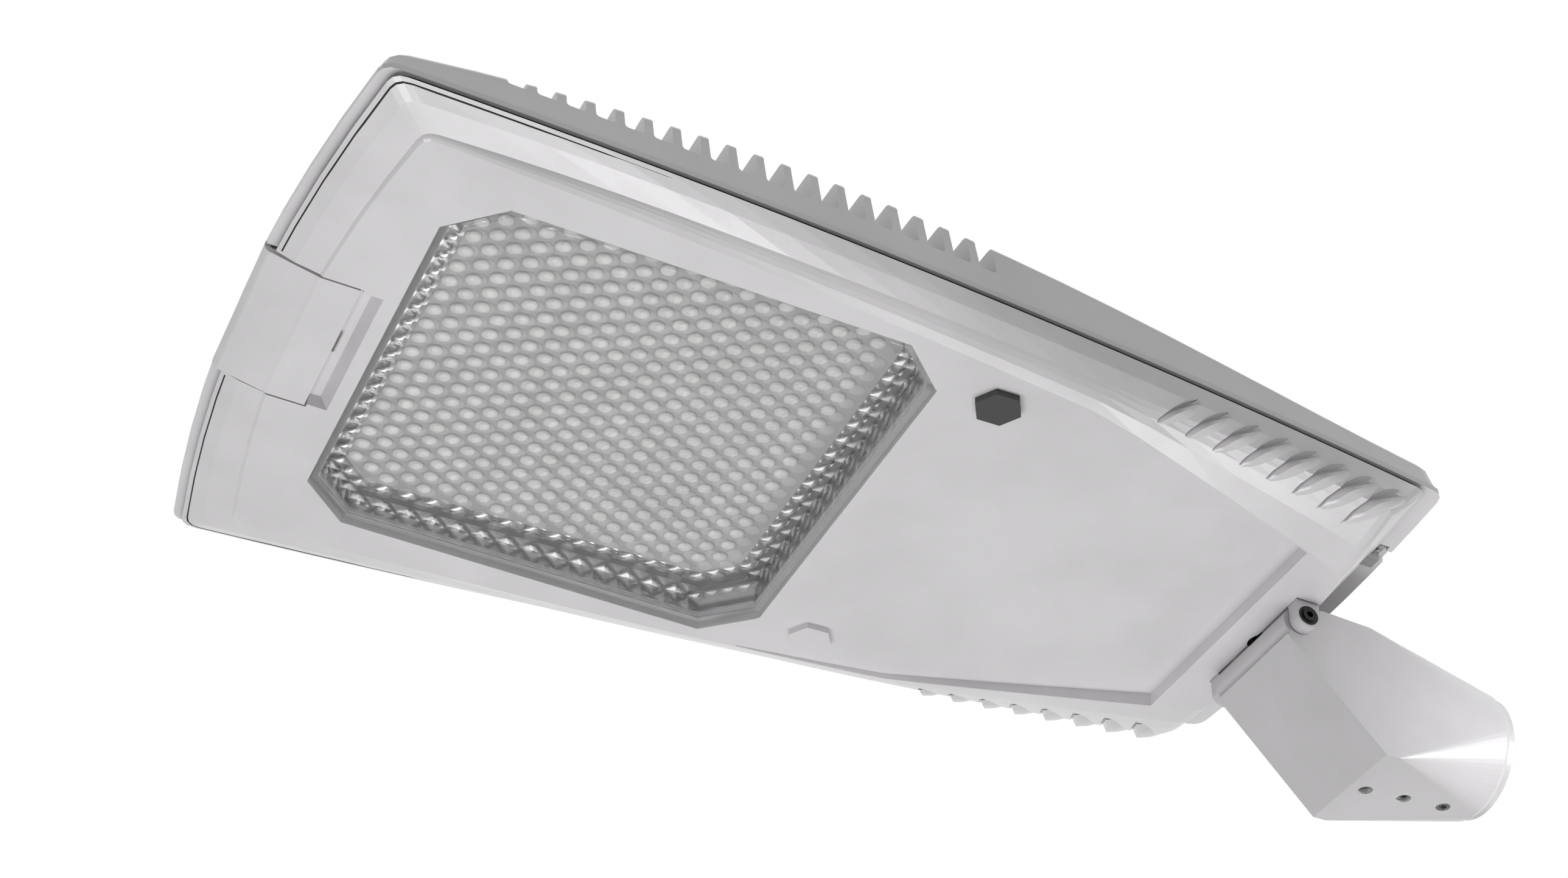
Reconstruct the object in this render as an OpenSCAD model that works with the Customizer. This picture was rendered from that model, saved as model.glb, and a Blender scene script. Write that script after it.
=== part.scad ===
// Street lantern: a flat die-cast LED head with a finned canopy that opens upwards, on a
// tilting adapter for a 60 mm pole spigot.
// X runs from the nose to the tail, Y across the lantern, Z up. The origin is the centre of
// the mouth of the pole socket, and the lantern lies on the -X side of it.

/* [Body outline] */
// Length of the lower frame between its nose corners and its tail corners
body_len = 580; // [480:1:700]
// Width at the nose corners
nose_w = 380; // [320:1:460]
// Width at the tail corners
tail_w = 256; // [220:1:320]
// Bow of each long side, outwards
side_bow = 10; // [0:0.5:20]
// Bow of the nose edge, forwards
nose_bow = 16; // [4:0.5:30]
// Bow of the tail edge, backwards
tail_bow = 6; // [0:0.5:12]
// Radius of the four corners in plan
corner_r = 7; // [3:0.5:14]

/* [Canopy] */
// Height of the canopy's shoulder at the nose
nose_h = 15; // [12:0.5:24]
// Height of the canopy's shoulder at its highest place
peak_h = 44; // [34:0.5:60]
// Height of the canopy's shoulder at the tail
tail_h = 19; // [14:0.5:24]
// Distance of the highest place from the nose corners
peak_at = 255; // [180:1:320]
// Rise of the roof from its shoulders to its middle
crown = 7; // [0:0.5:14]
// How far the canopy reaches behind the lower frame
overhang = 12; // [11:0.5:18]
// How far the canopy reaches in front of the lower frame
nose_over = 5; // [0:0.5:8]
// Wall of the canopy casting
canopy_wall = 3.5; // [2.5:0.1:5]
// Height of the flat that the light unit is screwed to
pad_z = 15; // [12:0.5:18]

/* [Cooling fins] */
// Number of fins
fin_count = 17; // [8:1:20]
// Spacing of the fins
fin_pitch = 14.75; // [12:0.25:18]
// Thickness of a fin at its tip
fin_tip = 3.2; // [2:0.1:5]
// Thickness of a fin at its root
fin_root = 5; // [3:0.1:7]
// Height of the floor between the fins
fin_floor = 20.5; // [18:0.5:26]
// Distance of the first fin from the nose corners
first_fin = 66; // [50:1:90]

/* [Lower frame] */
// Gap between the canopy's rim and the frame, which the seal fills
seam = 3; // [1.5:0.1:4]
// Depth of the frame's underside below the rim at the nose corners
nose_d = 10; // [9:0.5:16]
// Depth of the frame's underside below the rim at the tail corners
tail_d = 29; // [24:0.5:36]
// Wall of the frame casting
frame_wall = 3; // [2:0.1:4.5]
// Step from the frame's underside up to the gear panel at the panel's front edge
panel_step = 0.5; // [0.3:0.1:4]
// Width of the flange that carries the seal
flange_w = 9.5; // [8:0.5:12]

/* [Light opening] */
// Distance of the opening's front edge from the nose corners
opening_at = 49; // [46:1:80]
// Length of the opening
opening_len = 257; // [180:1:270]
// Width of the opening
opening_w = 272; // [200:1:276]
// Corner cut of the opening
opening_cut = 26; // [10:1:40]
// Thickness of the glass
glass_t = 4; // [3:0.5:6]
// Overlap of the glass on the frame
glass_lap = 4.5; // [4:0.5:7]
// Thickness of the seal under the glass
glass_seal_t = 1; // [0.5:0.1:2]

/* [Pole adapter] */
// Bore of the pole socket
socket_d = 62; // [50:0.5:66]
// Depth of the pole socket
socket_len = 82; // [66:1:84]
// Outside diameter of the sleeve
sleeve_d = 72; // [70:0.5:80]
// Distance from the tail corners to the mouth of the socket
mouth_reach = 110; // [105:1:130]
// Depth of the socket's axis below the canopy's rim
socket_z = 65; // [62:0.5:72]
// Width of the adapter's head, which tilts between the bracket's ears
knuckle_w = 72; // [60:1:76]
// Diameter of the tilt bolt
bolt_d = 8; // [6:1:10]

/* [Latch] */
// Width of the latch
latch_w = 98; // [70:1:120]
// Distance of the latch's inner edge from the nose corners
latch_back = 29; // [26:0.5:30]
// Gap round the latch
latch_gap = 1.2; // [0.8:0.1:2]
// Diameter of the latch's pin
latch_pin_d = 3; // [2.5:0.1:3.4]

/* [Fits] */
// Radial clearance of a pin or bolt that turns
running = 0.05; // [0.02:0.01:0.1]
// Gap between parts that move past each other
slide_gap = 0.4; // [0.3:0.05:0.8]

/* [Hidden] */
$fn = 48;
// Points along each long side, each end and each corner of the plan outline
side_n = 18;
end_n = 10;
corner_n = 3;
// Draft of the canopy's side walls, and the radius of its shoulder
draft = 0.27;
shoulder_r = 7;
lip_h = 3;
// Slope of the frame's flat underside
slope = (tail_d - nose_d) / body_len;
slope_deg = atan(slope);
// The nose and tail of the frame slant in by these amounts
nose_slant = 24;
tail_slant = 19;
// The glass part ends and the gear panel starts here
panel_at = opening_at + opening_len - 1;
panel_end = body_len - 46;
panel_d = nose_d + slope * panel_at - panel_step;
// The pole socket runs from its bottom to its mouth
mouth_at = body_len + mouth_reach;
socket_end = mouth_at - socket_len;
// The tilt axis lies below and in front of the tail
tilt_u = body_len - 22.5;
tilt_z = -tail_d - 7.5;
knuckle_r = bolt_d / 2 + 6;
ear_t = 8;
ear_r = bolt_d / 2 + 3;
// Room round the knuckle in the frame
pocket_r = knuckle_r + 1.2;
pocket_hw = knuckle_w / 2 + ear_t + 2;
head_top = tilt_z + knuckle_r + 2.5;
// The canopy's hinge axis lies inside its overhang
hinge_u = body_len + 8;
hinge_z = 4;
hinge_r = 4;
hinge_pin_r = 2;
hinge_y = [62 - tail_w / 2, tail_w / 2 - 62];
// The frame's hinge leaves lie under the seal, which reaches this far below the rim
seal_foot = seam + 1;
leaf_z = -7;
leaf_t = -leaf_z - seal_foot - 0.1;
// Half widths of the frame's knuckle and of the canopy's hinge over its cheeks
knuckle_hw = 4;
cheek_hw = 8;
// The latch's barrel takes the place of the canopy's rim at the nose
latch_r = 4.5;
latch_u = -nose_over - nose_bow + nose_bow * pow(latch_w / nose_w, 2) + latch_r - 0.4;
latch_z = 0.5;
lug_at = [16 - latch_w / 2, latch_w / 2 - 16];
lug_w = 7;
lug_r = 3.1;
// The block behind the latch, which the seal goes round
latch_hw = latch_w / 2 + latch_gap;
latch_end = latch_back + latch_gap;
// Floor of the gear room, and the light ledge's height over the underside
floor_z = -panel_d + frame_wall;
ledge_h = glass_t + glass_seal_t + 2.4;
// Stack of the light unit under the canopy's flat
carrier_t = 3;
board_t = 1.6;
chip_t = 0.6;
lens_gap = 0.8;
lens_t = 2;
board_z = pad_z - carrier_t - board_t;
lens_z = board_z - lens_gap - lens_t;
box_top = lens_z - 2.2;
// Tray and the gear on it
tray_z = floor_z + 2;
tray_t = 1.5;
gear_z = tray_z + tray_t;

// Places a shape drawn from the nose corners and the rim into the part's own frame
module at_body() {
    translate([-mouth_at, 0, socket_z]) children();
}

// Places a shape drawn on the frame's sloping underside
module on_underside() {
    translate([0, 0, -nose_d]) rotate([0, slope_deg, 0]) children();
}

// Half the body's width at a distance u from the nose corners
function half_w(u) = let (t = u / body_len)
    nose_w / 2 + (tail_w - nose_w) / 2 * t + 4 * side_bow * t * (1 - t);

// Depth of the flat underside at u
function under(u) = nose_d + slope * u;

// Height of the canopy's shoulder at u
function arch(u) = u < peak_at
    ? nose_h + (peak_h - nose_h) * (1 - pow((peak_at - u) / peak_at, 2))
    : tail_h + (peak_h - tail_h) * pow(0.5 + 0.5 * cos(180 * (u - peak_at) / (body_len + 14 - peak_at)), 0.85);

// Height of the canopy's roof
function roof(u, y) = arch(u) + crown * (1 - pow(y / half_w(u), 2));

// A point on a corner's curve, from a through the pull of b to c
function bend(a, b, c, t) = a * pow(1 - t, 2) + b * 2 * t * (1 - t) + c * pow(t, 2);

// One long side of the plan with its tail corner, from nose to tail, on the side s = -1 or 1
function flank(s, tail, nose_in, side_in, tail_in) = let (
    u0 = nose_in + corner_r,
    u1 = tail - tail_in - corner_r,
    yc = half_w(tail - tail_in) - side_in(tail - tail_in),
    yn = half_w(nose_in) - side_in(nose_in),
    a = [u1, s * (half_w(u1) - side_in(u1))],
    b = [tail - tail_in, s * yc],
    c = [tail - tail_in + tail_bow * (1 - pow((yc - corner_r) / yc, 2)), s * (yc - corner_r)],
    d = [u0, s * (half_w(u0) - side_in(u0))],
    e = [nose_in, s * yn],
    f = [nose_in - nose_bow * (1 - pow((yn - corner_r) / yn, 2)), s * (yn - corner_r)]
) concat(
    [for (i = [0:corner_n - 1]) bend(f, e, d, i / corner_n)],
    [for (i = [0:side_n]) let (u = u0 + (u1 - u0) * i / side_n) [u, s * (half_w(u) - side_in(u))]],
    [for (i = [1:corner_n]) bend(a, b, c, i / corner_n)]
);

// Points inside the curved tail edge, from the -Y side to the +Y side
function tail_edge(tail, side_in, tail_in) = let (
    yc = half_w(tail - tail_in) - side_in(tail - tail_in), y1 = yc - corner_r
) [for (i = [1:end_n - 1]) let (y = -y1 + 2 * y1 * i / end_n)
    [tail - tail_in + tail_bow * (1 - pow(y / yc, 2)), y]];

// Points inside the curved nose edge, from the +Y side to the -Y side
function nose_edge(nose_in, side_in) = let (
    yc = half_w(nose_in) - side_in(nose_in), y1 = yc - corner_r
) [for (i = [1:end_n - 1]) let (y = y1 - 2 * y1 * i / end_n)
    [nose_in - nose_bow * (1 - pow(y / yc, 2)), y]];

function reversed(v) = [for (i = [len(v) - 1:-1:0]) v[i]];

// The plan outline, drawn in by the given amounts at the nose, the sides and the tail
function outline(tail, nose_in, side_in, tail_in) = concat(
    flank(-1, tail, nose_in, side_in, tail_in),
    tail_edge(tail, side_in, tail_in),
    reversed(flank(1, tail, nose_in, side_in, tail_in)),
    nose_edge(nose_in, side_in)
);

function even(w) = function(u) w;

// Gives each point of an outline its height
function lifted(points, z) = [for (p = points) [p.x, p.y, z(p.x, p.y)]];

// Shrinks an outline towards a point on the centre line
function shrunk(points, k, u) = [for (p = points) [u + (p.x - u) * k, p.y * k]];

function middle(ring) = let (n = len(ring)) [for (k = [0:2]) [for (p = ring) p[k]] * [for (p = ring) 1] / n];

// A closed solid through rings of equal length, the lowest first
module loft(rings) {
    n = len(rings[0]);
    m = len(rings);
    points = concat([for (r = rings) each r], [middle(rings[0]), middle(rings[m - 1])]);
    sides = [for (j = [0:m - 2], i = [0:n - 1]) let (a = j * n + i, b = j * n + (i + 1) % n)
        each [[a, a + n, b], [b, a + n, b + n]]];
    floor_cap = [for (i = [0:n - 1]) [m * n, i, (i + 1) % n]];
    roof_cap = [for (i = [0:n - 1]) [m * n + 1, (m - 1) * n + (i + 1) % n, (m - 1) * n + i]];
    polyhedron(points = points, faces = concat(sides, floor_cap, roof_cap), convexity = 8);
}

// Outline rings of the canopy, drawn in by an inset that may grow with the height of the arch
function canopy_ring(t, inset, z) = lifted(outline(body_len + overhang, inset(0) + t - nose_over,
    function(u) inset(u) + t, inset(body_len) + t), z);

// The canopy's outside, or with a wall t the room inside it
module canopy_form(t = 0) {
    low = lip_h + 1.2;
    foot = t > 0 ? lip_h : 0;
    top = function(u, y) roof(u, y) - t;
    wall = function(u) max(0.5, arch(u) - t - shoulder_r - low);
    arc_in = function(a, u) 1.2 + draft * wall(u) + shoulder_r * (1 - cos(a));
    inner = function(u) arc_in(90, u);
    edge = outline(body_len + overhang, inner(0) + t - nose_over, function(u) inner(u) + t,
        inner(body_len) + t);
    loft(concat(
        [canopy_ring(t, even(0), function(u, y) foot)],
        [canopy_ring(t, even(t > 0 ? 1.2 : 0), function(u, y) t > 0 ? foot + 0.6 : lip_h)],
        [canopy_ring(t, even(1.2), function(u, y) low)],
        [canopy_ring(t, function(u) 1.2 + draft * wall(u) / 2, function(u, y) low + wall(u) / 2)],
        [for (a = [0, 25, 50, 72]) canopy_ring(t, function(u) arc_in(a, u),
            function(u, y) top(u, y) - shoulder_r * (1 - sin(a)))],
        [for (k = [1, 0.8, 0.55, 0.3, 0.1]) lifted(shrunk(edge, k, body_len / 2), top)]
    ));
}

// Plan of the latch's notch, grown by g
module notch_plan(g = 0) {
    translate([-nose_bow - 20, -latch_hw - g]) square([latch_end + nose_bow + 20 + g, 2 * (latch_hw + g)]);
}

// Plan of the frame inside its edge by g, without the latch's notch
module rim_plan(g) {
    difference() {
        polygon(outline(body_len, g, even(g), g));
        notch_plan(g);
    }
}

// A shape drawn in u and z, drawn out across the lantern between two values of y
module across(y0, y1) {
    translate([0, y1, 0]) rotate([90, 0, 0]) linear_extrude(y1 - y0) children();
}

// The groove that leaves two fins standing
module fin_groove(k) {
    u = first_fin + (k - 0.5) * fin_pitch;
    r = 2;
    low = (fin_pitch - fin_root) / 2 - r;
    high = (fin_pitch - fin_tip) / 2;
    top = peak_h + crown + 1;
    hull() {
        for (s = [-1, 1]) translate([u + s * low, 0, fin_floor + r]) rotate([90, 0, 0])
            cylinder(h = nose_w + 20, r = r, center = true, $fn = 16);
        translate([u - high, -nose_w / 2 - 10, top]) cube([2 * high, nose_w + 20, 1]);
    }
}

module canopy() {
    color("silver") at_body() difference() {
        canopy_form();
        difference() {
            canopy_form(canopy_wall);
            translate([first_fin - fin_pitch, -nose_w / 2, pad_z])
                cube([(fin_count + 1) * fin_pitch + 3, nose_w, peak_h]);
        }
        translate([0, 0, -1]) linear_extrude(lip_h + 1.1) rim_plan(flange_w);
        for (k = [0:fin_count]) fin_groove(k);
        // Room for the latch's barrel and its bracket's lugs
        translate([latch_u - 20, -latch_hw, -1])
            cube([20 + latch_r + 0.5, 2 * latch_hw, latch_z + latch_r + 1.5]);
        for (y = lug_at) translate([latch_u, y - lug_w / 2 - 0.3, -1])
            cube([latch_r + 10, lug_w + 0.6, lip_h + 2]);
        // Room for the hinges at the tail
        for (y = hinge_y) {
            translate([hinge_u - 4.7, y - cheek_hw - 0.4, -1]) cube([9.4, 2 * cheek_hw + 0.8, 10]);
            translate([hinge_u - 5, y - knuckle_hw - 0.6, -1]) cube([30, 2 * knuckle_hw + 1.2, 3.8]);
        }
    }
}

// How far the frame's outer edge lies above the underside, its inset, and the crease's inset
function edge_rise(u) = 0.5 + 5 * (1 - pow(1 - min(1, max(0, u) / 150), 2))
    + 6 * pow(max(0, u - 150) / (body_len - 150), 2);
function edge_in(u) = 23.5 - 22 * u / body_len + 1.3 * max(0, edge_rise(u) - 5.5);
function edge_z(u) = edge_rise(u) - under(u);
function crease_in(u) = 25 + 0.19 * max(0, u - body_len + 190);

// Inset and depth of the rolled edge, from the outer edge at t = 0 to the crease at t = 1
function roll_in(u, t) = bend(edge_in(u), 0.55 * edge_in(u) + 0.45 * crease_in(u), crease_in(u), t);
function roll_z(u, t) = bend(edge_z(u), 0.3 * edge_rise(u) - under(u), -under(u), t);
function frame_ring(nose_in, side_in, tail_in, z) = lifted(outline(body_len, nose_in, side_in, tail_in), z);

module frame_form() {
    loft(reversed(concat(
        [frame_ring(0, even(0), 0, function(u, y) -seam)],
        [frame_ring(0.4 * nose_slant, function(u) 0.4 * edge_in(u), 0.4 * tail_slant,
            function(u, y) -seam + 0.55 * (edge_z(u) + seam))],
        [for (t = [0, 0.15, 0.35, 0.6, 1]) frame_ring(nose_slant - 1.5 + 1.5 * t,
            function(u) roll_in(u, t), tail_slant - 3 + 3 * t, function(u, y) roll_z(u, t))]
    )));
}

// The room inside the frame, open at the top
module frame_room() {
    w = frame_wall;
    inner = function(u) max(flange_w, edge_in(u) + w + 2);
    loft(reversed([
        lifted(outline(body_len, flange_w, even(flange_w), flange_w), function(u, y) 1),
        lifted(outline(body_len, flange_w, even(flange_w), flange_w), function(u, y) -seam - w + 0.5),
        lifted(outline(body_len, nose_slant + 2, inner, tail_slant), function(u, y) edge_z(u) + w + 0.5),
        lifted(outline(body_len, nose_slant + 3.4, function(u) crease_in(u) + w, tail_slant + 2),
            function(u, y) -under(u) + w)
    ]));
}

// Plan of the glass, drawn in by g, on the sloping underside
module glass_plan(g = 0) {
    x0 = opening_at + g;
    x1 = opening_at + opening_len - g;
    h = opening_w / 2 - g;
    c = opening_cut - 0.586 * g;
    polygon([[x0, c - h], [x0 + c, -h], [x1 - c, -h], [x1, c - h],
        [x1, h - c], [x1 - c, h], [x0 + c, h], [x0, h - c]]);
}

// Plan of the gear panel
function panel_half(u) = half_w(u) - crease_in(u) - 1;
module panel_plan(g = 0) {
    us = [for (i = [0:8]) panel_at + g + (panel_end - panel_at - 2 * g) * i / 8];
    polygon(concat([for (u = us) [u, g - panel_half(u)]], [for (u = reversed(us)) [u, panel_half(u) - g]]));
}

// One louvre, which starts on the rolled edge and curves back as it climbs the flank
module louvre(u, s) {
    k = 0.7 + 0.3 * (u - louvre_u[0]) / 130;
    flank_y = function(u, f) half_w(u) - f * edge_in(u);
    stops = [
        [u - 6 * k, flank_y(u, 1) - 0.45 * (crease_in(u) - edge_in(u)) * k, roll_z(u, 0.6), 0.6],
        [u - 3 * k, half_w(u) - roll_in(u, 0.25), roll_z(u, 0.3), 2.7],
        [u + 3 * k, flank_y(u, 1), edge_z(u), 3.5],
        [u + 11 * k, flank_y(u, 0.7), 0.7 * edge_z(u), 2.6],
        [u + 20 * k, flank_y(u, 0.5), 0.5 * edge_z(u), 0.7]
    ];
    loft([for (p = stops) [for (a = [20:45:335])
        [p[0], s * p[1] + p[3] * k * cos(a), p[2] + p[3] * k * sin(a)]]]);
}

louvre_u = [for (i = [0:7]) body_len - 162 + 18 * i];
plug_u = panel_at + 33;
plug_y = opening_w / 2 - 22;
plug_r = 10;
grommet_r = 9;
bracket_x = [-8, 3];
bracket_y = [6 - knuckle_w / 2, knuckle_w / 2 - 6];
bracket_t = 4.5;

module lower_frame() {
    color("silver") at_body() difference() {
        union() {
            difference() {
                frame_form();
                difference() {
                    frame_room();
                    // Solid round the latch, under the gear room and at the hinges
                    translate([0, 0, -tail_d - 5]) linear_extrude(tail_d + 6) notch_plan(flange_w);
                    translate([panel_at - 4, -nose_w / 2, -tail_d - 5])
                        cube([body_len, nose_w, tail_d + 5 + floor_z]);
                    for (y = hinge_y) translate([body_len - 24, y - 7, -20]) cube([30, 14, 20 + leaf_z]);
                }
            }
            // Ledge round the light opening
            on_underside() linear_extrude(ledge_h) difference() {
                glass_plan(-4);
                glass_plan(glass_lap);
            }
        }
        on_underside() {
            translate([0, 0, -5]) linear_extrude(5 + glass_t + glass_seal_t) glass_plan(-0.5);
            translate([0, 0, -5]) linear_extrude(40) glass_plan(glass_lap);
        }
        // Recessed gear panel
        translate([0, 0, -60]) linear_extrude(60 - panel_d) panel_plan();
        // Notch for the latch and the finger groove behind it
        translate([0, 0, -40]) linear_extrude(50) notch_plan();
        hull() {
            translate([latch_end - 0.1, -latch_w / 2 + 1, -under(latch_end) - 2]) cube([11, latch_w - 2, 1]);
            translate([latch_end - 0.1, -latch_w / 2 + 2, -5.5]) cube([6, latch_w - 4, 1]);
        }
        translate([latch_end - 1, -9, -6.4]) cube([3, 18, 2.2]);
        // Pocket for the adapter's head at the tail, and slots for the bracket's ears
        across(-pocket_hw, pocket_hw) {
            translate([tilt_u, tilt_z]) circle(pocket_r);
            translate([tilt_u, -60]) square([80, 60 + tilt_z + pocket_r]);
            translate([tilt_u + 9, -60]) square([80, 60 + head_top + 2.2]);
        }
        for (s = [-1, 1]) translate([tilt_u, s * (knuckle_w / 2 + slide_gap + ear_t / 2), 0])
            cube([2 * ear_r + 0.4, ear_t + 0.4, 80], center = true);
        // Groove for the seal
        translate([0, 0, -seal_foot]) linear_extrude(5) difference() {
            rim_plan(2);
            rim_plan(7.5);
        }
        for (y = hinge_y) translate([body_len - 21, y - knuckle_hw - 0.2, leaf_z])
            cube([40, 2 * knuckle_hw + 0.4, 3 - leaf_z]);
        for (s = [-1, 1], u = louvre_u) louvre(u, s);
        for (s = [-1, 1]) translate([plug_u, s * plug_y, -40]) cylinder(h = 40, r = plug_r + 0.1);
        translate([tilt_u, 0, -40]) cylinder(h = 40, r = grommet_r + 0.1);
        for (x = bracket_x, y = bracket_y) translate([tilt_u + x, y, tilt_z + pocket_r + 0.8])
            cylinder(h = 20, r = 3.1);
    }
}

module led_carrier() {
    color("gainsboro") at_body() translate([0, 0, pad_z - carrier_t]) linear_extrude(carrier_t)
        glass_plan(glass_lap + 1.5);
}

// Places one of the four boards with its centre at the origin
board_l = (opening_len - 2 * glass_lap) / 2 - 3;
board_w = (opening_w - 2 * glass_lap) / 2 - 4;
led_rows = 6;
led_cols = 7;
module each_board() {
    for (i = [-1, 1], j = [-1, 1])
        translate([opening_at + opening_len / 2 + i * (board_l / 2 + 0.8), j * (board_w / 2 + 0.8), 0])
            scale([i, j, 1]) children();
}
module board_plan(g = 0) {
    c = 18;
    l = board_l / 2 - g;
    w = board_w / 2 - g;
    polygon([[-l, -w], [l, -w], [l, w - c], [l - c, w], [-l, w]]);
}
module each_led() {
    for (i = [0:led_rows - 1], j = [0:led_cols - 1])
        let (x = (i - (led_rows - 1) / 2) * (board_l - 6) / led_rows,
            y = (j - (led_cols - 1) / 2 + (i % 2) * 0.5 - 0.25) * (board_w - 8) / led_cols)
            if (x + y < board_l / 2 + board_w / 2 - 26) translate([x, y, 0]) children();
}

module led_boards() {
    color("white") at_body() translate([0, 0, board_z]) each_board() {
        linear_extrude(board_t) board_plan();
        translate([0, 0, -chip_t]) linear_extrude(chip_t + 0.1) each_led() square(3, center = true);
    }
}

module lens_plate() {
    color("lightgray") at_body() translate([0, 0, lens_z]) {
        linear_extrude(lens_t) glass_plan(glass_lap + 2.2);
        translate([0, 0, lens_t - 0.1]) linear_extrude(lens_gap + 0.1) difference() {
            glass_plan(glass_lap + 2.2);
            glass_plan(glass_lap + 5);
        }
        each_board() each_led() translate([0, 0, -1.8]) cylinder(h = 2, r1 = 3.5, r2 = 6.5);
    }
}

module canopy_hinges() {
    t = cheek_hw - knuckle_hw - slide_gap;
    color("silver") at_body() for (y = hinge_y) difference() {
        union() {
            translate([body_len - 20, y - cheek_hw, lip_h]) cube([24, 2 * cheek_hw, 2.5]);
            for (y0 = [y - cheek_hw, y + cheek_hw - t]) across(y0, y0 + t) {
                translate([hinge_u, hinge_z]) circle(hinge_r);
                translate([body_len - 4, lip_h]) square([hinge_u - body_len + 4, hinge_z + hinge_r - lip_h]);
            }
        }
        translate([hinge_u - hinge_r - 0.6, y - cheek_hw + t, -10]) cube([20, 2 * (cheek_hw - t), 30]);
        across(y - 20, y + 20) translate([hinge_u, hinge_z]) circle(hinge_pin_r);
    }
}

module hinge_pins() {
    color("dimgray") at_body() for (y = hinge_y)
        across(y - cheek_hw, y + cheek_hw) translate([hinge_u, hinge_z]) circle(hinge_pin_r);
}

module frame_hinges() {
    color("silver") at_body() for (y = hinge_y) difference() {
        across(y - knuckle_hw, y + knuckle_hw) {
            translate([body_len - 20, leaf_z]) square([hinge_u - body_len + 20, leaf_t]);
            translate([hinge_u - 4, leaf_z]) square([4, hinge_z - leaf_z]);
            translate([hinge_u, hinge_z]) circle(hinge_r);
        }
        across(y - 20, y + 20) translate([hinge_u, hinge_z]) circle(hinge_pin_r + running);
    }
}

module latch_bracket() {
    color("dimgray") at_body() difference() {
        union() {
            for (y = lug_at) across(y - lug_w / 2, y + lug_w / 2) {
                translate([latch_u, latch_z]) circle(lug_r);
                translate([latch_u, latch_z - 0.2]) square([latch_r + 9, lug_r + 0.2]);
            }
            translate([latch_u + latch_r + 1.5, lug_at[0] - lug_w / 2, lip_h])
                cube([8, lug_at[1] - lug_at[0] + lug_w, 3]);
        }
        across(-60, 60) translate([latch_u, latch_z]) circle(latch_pin_d / 2);
    }
}

module latch_pin() {
    color("dimgray") at_body() across(-latch_w / 2 + 2, latch_w / 2 - 2)
        translate([latch_u, latch_z]) circle(latch_pin_d / 2);
}

module latch() {
    hw = latch_w / 2;
    nose_u = nose_slant - nose_bow;
    rear_z = -under(latch_back);
    color("silver") at_body() difference() {
        union() {
            across(-hw, hw) {
                translate([latch_u, latch_z]) circle(latch_r);
                polygon([[latch_u - 1, latch_z - latch_r + 0.2], [-6, -6.6], [nose_u - 1.5, -9.6],
                    [nose_u + 0.5, -under(nose_u)], [latch_back, rear_z], [latch_back, -0.6],
                    [latch_u + latch_r - 1, -0.6], [latch_u + 1, latch_z]]);
            }
        }
        across(-hw + 3, hw - 3) polygon([[-4, 1], [-4, -4.3], [nose_u, -6.6], [nose_u + 2, rear_z + 2.8],
            [latch_back - 2.5, rear_z + 2.4], [latch_back - 2.5, 1]]);
        // Pockets for the bracket's lugs
        for (y = lug_at) across(y - lug_w / 2 - slide_gap, y + lug_w / 2 + slide_gap) {
            translate([latch_u, latch_z]) circle(lug_r + slide_gap);
            translate([latch_u - lug_r - slide_gap, latch_z - 0.5]) square([26, 20]);
        }
        across(-60, 60) translate([latch_u, latch_z]) circle(latch_pin_d / 2 + running);
        translate([latch_back - 3, -8.6, -6.4]) cube([4, 17.2, 2]);
    }
}

module latch_spring() {
    z0 = -under(latch_back) + 3;
    color("lightgray") at_body() across(-8, 8) {
        translate([latch_back - 16, z0]) square([13.4, 0.8]);
        translate([latch_back - 3.4, z0]) square([0.8, 3.4]);
        translate([latch_back - 3.4, -5.8]) square([4.6 + latch_gap, 0.8]);
    }
}

module canopy_seal() {
    color("dimgray") at_body() translate([0, 0, -seal_foot]) linear_extrude(seal_foot) difference() {
        rim_plan(2.2);
        rim_plan(7.3);
    }
}

module glass() {
    color("lightblue", 0.4) at_body() on_underside() linear_extrude(glass_t) glass_plan();
}

module glass_seal() {
    color("dimgray") at_body() on_underside() translate([0, 0, glass_t])
            linear_extrude(glass_seal_t) difference() {
        glass_plan(0.3);
        glass_plan(glass_lap - 0.5);
    }
}

module light_box() {
    color("white") at_body() intersection() {
        on_underside() translate([0, 0, ledge_h]) {
            linear_extrude(1.2) difference() {
                glass_plan(0);
                glass_plan(glass_lap);
            }
            linear_extrude(60) difference() {
                glass_plan(glass_lap - 1.2);
                glass_plan(glass_lap);
            }
        }
        translate([0, -nose_w, -60]) cube([body_len, 2 * nose_w, 60 + box_top]);
    }
}

function tray_half(u) = half_w(u) - crease_in(u) - 8;
tray_u = [for (i = [0:3]) panel_at + 17 + (panel_end - panel_at - 25) * i / 3];
// Places of the screws that hold the tray, as [u, y]
tray_screw_at = concat(
    [for (u = [panel_at + 25, panel_at + 107], s = [-1, 1]) [u, s * (plug_y - 14)]],
    [for (s = [-1, 1]) [panel_end - 22, s * (tail_w / 2 - 68)]]);
driver_u = panel_at + 30;
driver_l = 66;
driver_w = 2 * (plug_y - plug_r - 9);
driver_h = 34;
// Front of the smaller gear behind the driver
small_gear_u = driver_u + driver_l + 24;

module gear_tray() {
    color("lightgray") at_body() difference() {
        union() {
            translate([0, 0, tray_z]) linear_extrude(tray_t) polygon(concat(
                [for (u = tray_u) [u, -tray_half(u)]], [for (u = reversed(tray_u)) [u, tray_half(u)]]));
            for (p = tray_screw_at) translate([p.x, p.y, floor_z]) cylinder(h = 2, r = 5);
        }
        for (s = [-1, 1]) translate([plug_u, s * plug_y, floor_z - 1]) cylinder(h = 10, r = plug_r + 3);
        for (p = tray_screw_at) translate([p.x, p.y, floor_z - 1]) cylinder(h = 9, r = 2.1);
    }
}

module tray_screws() {
    color("dimgray") at_body() for (p = tray_screw_at) translate([p.x, p.y, 0])
        screw(2, gear_z, floor_z + 0.1);
}

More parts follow.
